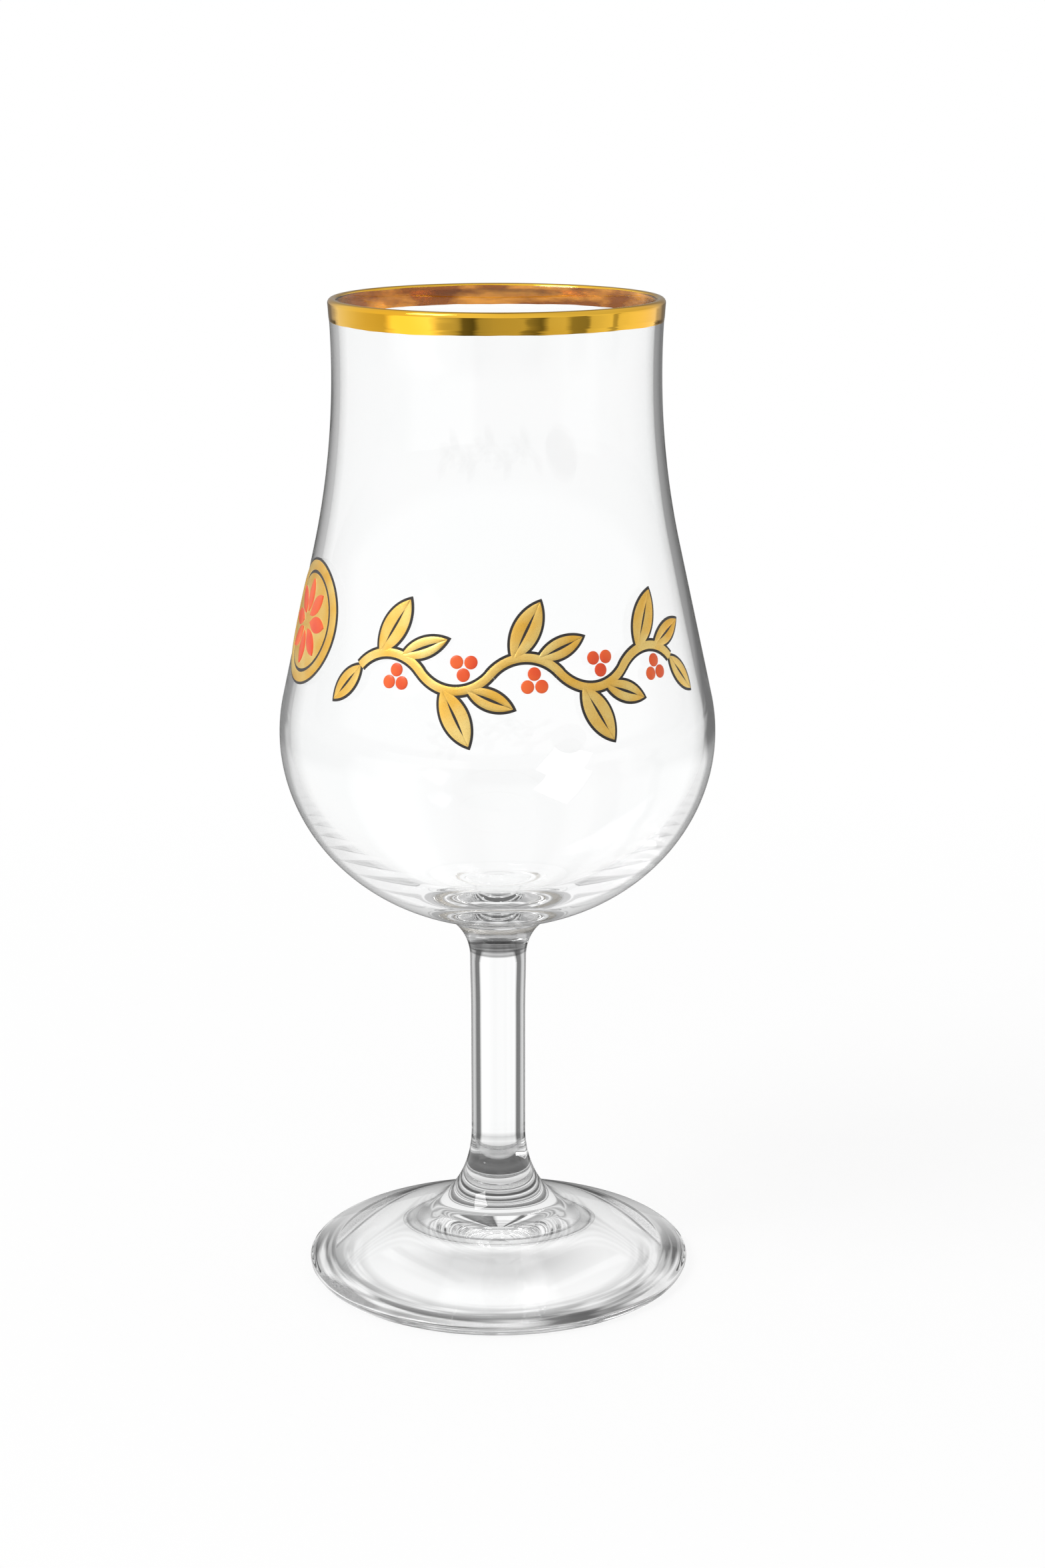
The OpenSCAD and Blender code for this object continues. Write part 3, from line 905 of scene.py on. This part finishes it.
# Brightness once round the axis, as rows of (share, brightness) from the front by way of the left: for gold
# near by, far off and in the sky, and for light that a wall of the glass mirrored once, on the floor and
# high up
GOLD_PANELS = [
    (0.0, 0.5), (0.02, 0.4), (0.034, 0.1), (0.06, 0.15), (0.074, 0.45), (0.1, 0.75), (0.125, 1.5),
    (0.2, 1.5), (0.225, 0.7), (0.26, 0.75), (0.38, 0.9), (0.4, 0.1), (0.6, 0.1), (0.62, 1.2),
    (0.72, 1), (0.745, 0.85), (0.752, 0.45), (0.768, 0.5), (0.775, 0.9), (0.82, 0.7), (0.83, 0.25),
    (0.857, 0.3), (0.87, 0.7), (0.9, 0.65), (0.92, 0.15), (0.945, 0.3), (0.955, 0.55), (1, 0.5),
]
FAR_PANELS = [(0.0, 0.9), (0.38, 0.9), (0.43, 0.2), (0.57, 0.2), (0.62, 0.9), (1, 0.9)]
SKY_PANELS = [
    (0.0, 0.9), (0.15, 1), (0.38, 0.85), (0.44, 0.4), (0.56, 0.3), (0.62, 0.75), (0.8, 0.7), (1, 0.9),
]
EDGE_PANELS = [
    (0.0, 0.2), (0.035, 0.25), (0.05, 1), (0.16, 1), (0.19, 0.35), (0.25, 0.3), (0.35, 0.6), (0.48, 0.6),
    (0.52, 0.3), (0.78, 0.3), (0.8, 0.8), (0.86, 0.7), (0.88, 0.3), (0.95, 0.25), (1, 0.2),
]
WINDOW_PANELS = [
    (0.0, 0.5), (0.41, 0.5), (0.436, 0.35), (0.442, 1), (0.454, 1), (0.457, 0.12), (0.466, 0.12),
    (0.47, 1), (0.503, 1), (0.506, 0.15), (0.53, 0.3), (0.558, 0.12), (0.563, 0.95), (0.575, 0.9),
    (0.58, 0.3), (0.6, 0.5), (1, 0.5),
]
# Brightness from the horizon up, for light mirrored once and for light that goes straight through, and where
# the window's panels take over from the first
RISE_PANELS = [
    (0.0, 0.35), (0.04, 0.35), (0.08, 0.95), (0.34, 0.95), (0.36, 0.3), (0.375, 0.85), (0.39, 0.35),
    (0.4, 0.8), (0.415, 0.25), (0.43, 0.7), (0.445, 0.3), (0.46, 0.85), (0.48, 0.3), (0.5, 0.6), (1, 0.6),
]
HORIZON_PANELS = [(0.0, 1), (0.19, 1), (0.21, 0.2), (0.34, 0.2), (0.4, 1), (1, 1)]
WINDOW_START = (0.5, 0.52)

# Painted shadow on the floor, which only light through the glass sees: greys under the resting ring, under
# the stem, and as the hub mirrors it
REST_SHADOW = 0.1
CORE_SHADOW = 0.7
HUB_SHADOW = 0.14

# Distances from the axis, in metres, over which one part of the floor fades into the next
CORE_END = (0.006, 0.013)
REST_START = (0.016, 0.021)
REST_END = (0.024, 0.028)
REST_BACK = (0, 0.012)
HUB_END = (0.021, 0.026)
EDGE_START = (0.2, 0.3)
CARD_END = (0.7, 0.95)
SHADE_END = (0.06, 0.25)
FLOOR_HALF = 4.0

# How far the gold's panels waver, as a share of a turn, and how white the camera sees the floor by the glass
CARD_WAVE = 0.012
NEAR_WHITE = 0.85


def round_share(tree, x, y):
    """Share of the way round the axis, 0 to 1, from the front by way of the left."""
    turns = math_step(tree, "MULTIPLY", math_step(tree, "ARCTAN2", x, y), 1 / TURN)
    return math_step(tree, "FRACT", math_step(tree, "ADD", turns, 0.5))


def either(tree, by, first, second):
    """Mixes two shaders by a number."""
    node = tree.nodes.new("ShaderNodeMixShader")
    tree.links.new(by, node.inputs["Fac"])
    tree.links.new(first, node.inputs[1])
    tree.links.new(second, node.inputs[2])
    return node.outputs[0]


def glowing(tree, kind, colour):
    """Light of strength 1 in a colour."""
    node = tree.nodes.new(kind)
    feed(tree, colour, node.inputs["Color"])
    node.inputs["Strength"].default_value = 1
    return node.outputs[0]


def through_glass(tree, path, gaps, once):
    """What light sees that leaves the glass again: the gaps where it went straight through, another pattern
    where it was also mirrored once in a wall, and plain white after more than that."""
    deep = past(tree, path.outputs["Transmission Depth"], 2.5)
    mirrored = past(tree, path.outputs["Glossy Depth"], 0.5)
    return blend(tree, mirrored, gaps, blend(tree, deep, once, grey(1)))


def by_kind_of_light(tree, path, soft, mirrored, through, plain):
    """One shader for each kind of light: from dull surfaces, from gloss, through glass, and straight to the
    camera."""
    seen = either(tree, path.outputs["Is Glossy Ray"], soft, mirrored)
    seen = either(tree, path.outputs["Is Transmission Ray"], seen, through)
    return either(tree, path.outputs["Is Camera Ray"], seen, plain)


def studio_world():
    """White surround, with the gaps and panels that only gold and glass see."""
    world = bpy.data.worlds.new("studio")
    bpy.context.scene.world = world
    world.use_nodes = True
    tree = world.node_tree
    tree.nodes.remove(tree.nodes["Background"])
    x, y, z = coordinates(tree, tree.nodes.new("ShaderNodeTexCoord").outputs["Generated"])
    path = tree.nodes.new("ShaderNodeLightPath")
    kind = "ShaderNodeBackground"
    share = round_share(tree, x, y)
    window = panels(tree, share, WINDOW_PANELS)
    once = blend(tree, fade(tree, z, WINDOW_START), panels(tree, z, RISE_PANELS), window)
    seen = by_kind_of_light(
        tree, path,
        soft=glowing(tree, kind, grey(0.7)),
        mirrored=glowing(tree, kind, panels(tree, share, SKY_PANELS)),
        through=glowing(tree, kind, through_glass(tree, path, panels(tree, z, HORIZON_PANELS), once)),
        plain=glowing(tree, kind, grey(1)))
    tree.links.new(seen, tree.nodes["World Output"].inputs["Surface"])


def rest_ring_shadow(tree, where, far):
    """Painted shadow of the resting ring on the floor, grey in streaks along it: noise over the direction
    from the axis, with the distance stretched along a third axis."""
    away = tree.nodes.new("ShaderNodeCombineXYZ")
    tree.links.new(spread(tree, far, 0, 0.05, 0, 30), away.inputs["Z"])
    along = vector_step(tree, "ADD", vector_step(tree, "NORMALIZE", where), away.outputs[0])
    streaks = fade(tree, noise(tree, along, 1.4, 2), (0.45, 0.64))
    return blend(tree, streaks, grey(REST_SHADOW), grey(0.9))


def studio_floor():
    """Pale floor, with the gaps and panels that only gold and glass see, and painted shadow under the glass
    that only glass shows.
    """
    mesh = bpy.data.meshes.new("floor")
    corners = FLOOR_HALF * np.array([[-1, -1, 0], [1, -1, 0], [1, 1, 0], [-1, 1, 0]])
    mesh.from_pydata(corners.tolist(), [], [(0, 1, 2, 3)])
    floor = bpy.data.objects.new("floor", mesh)
    bpy.context.scene.collection.objects.link(floor)
    material, tree, shader = new_material("floor")
    shader.inputs["Base Color"].default_value = (*grey(0.96), 1)
    shader.inputs["Roughness"].default_value = 1
    where = tree.nodes.new("ShaderNodeTexCoord").outputs["Object"]
    x, y, _ = coordinates(tree, where)
    far = vector_step(tree, "LENGTH", where)
    share = round_share(tree, x, y)
    path = tree.nodes.new("ShaderNodeLightPath")
    kind = "ShaderNodeEmission"

    once = blend(tree, fade(tree, far, EDGE_START), grey(0.95), panels(tree, share, EDGE_PANELS))
    # Painted shade near the hub, for light that a wall of the glass mirrored once
    once = blend(tree, fade(tree, far, HUB_END), grey(HUB_SHADOW), once)

    # Painted shadow under the resting ring and the stem, which only light through the glass sees
    gaps = blend(tree, fade(tree, y, REST_BACK), rest_ring_shadow(tree, where, far), grey(0.9))
    gaps = blend(tree, fade(tree, far, REST_END), gaps, grey(1))
    gaps = blend(tree, fade(tree, far, REST_START), grey(1), gaps)
    gaps = blend(tree, fade(tree, far, CORE_END), grey(CORE_SHADOW), gaps)

    waves = spread(tree, noise(tree, where, 5, 1), 0.3, 0.7, -CARD_WAVE, CARD_WAVE)
    cards = panels(tree, math_step(tree, "ADD", share, waves), GOLD_PANELS)
    cards = blend(tree, fade(tree, far, CARD_END), cards, panels(tree, share, FAR_PANELS))

    lit, white = shader.outputs[0], glowing(tree, kind, grey(1))
    seen = by_kind_of_light(
        tree, path,
        soft=lit,
        mirrored=glowing(tree, kind, cards),
        through=glowing(tree, kind, through_glass(tree, path, gaps, once)),
        plain=either(tree, spread(tree, far, *SHADE_END, NEAR_WHITE, 1), lit, white))
    tree.links.new(seen, tree.nodes["Material Output"].inputs["Surface"])
    mesh.materials.append(material)


CAMERA_LENS = 68.2
CAMERA_PLACE = (3.0, -347.7, 151.0)
CAMERA_DIP = math.radians(14.4)


def studio_camera():
    """Camera of the photograph: how far, how high and how steep follow from the outline's ellipses."""
    data = bpy.data.cameras.new("camera")
    data.sensor_width = 36
    data.lens = CAMERA_LENS
    data.clip_start = 0.01
    camera = bpy.data.objects.new("camera", data)
    camera.location = [v * MM for v in CAMERA_PLACE]
    camera.rotation_euler = (math.pi / 2 - CAMERA_DIP, 0, 0)
    bpy.context.scene.collection.objects.link(camera)
    bpy.context.scene.camera = camera


def lamp(name, place, aim, size, power):
    """A rectangle of light that faces a point: tilted up from straight down, then turned towards it."""
    data = bpy.data.lights.new(name, "AREA")
    data.shape = "RECTANGLE"
    data.size, data.size_y = size
    data.energy = power
    light = bpy.data.objects.new(name, data)
    light.location = place
    way = np.array(aim) - np.array(place)
    tilt = math.acos(-way[2] / np.linalg.norm(way))
    light.rotation_euler = (tilt, 0, math.atan2(way[1], way[0]) - math.pi / 2)
    bpy.context.scene.collection.objects.link(light)


studio_camera()
studio_world()
studio_floor()
lamp("key", (-0.7, -0.5, 0.9), (0, 0, 0.06), (0.5, 0.5), 6.5)

scene = bpy.context.scene
scene.view_settings.view_transform = "Standard"
# Light crosses many walls of glass before it leaves them
scene.cycles.max_bounces = 96
scene.cycles.transmission_bounces = 96
scene.cycles.glossy_bounces = 96
scene.cycles.transparent_max_bounces = 32
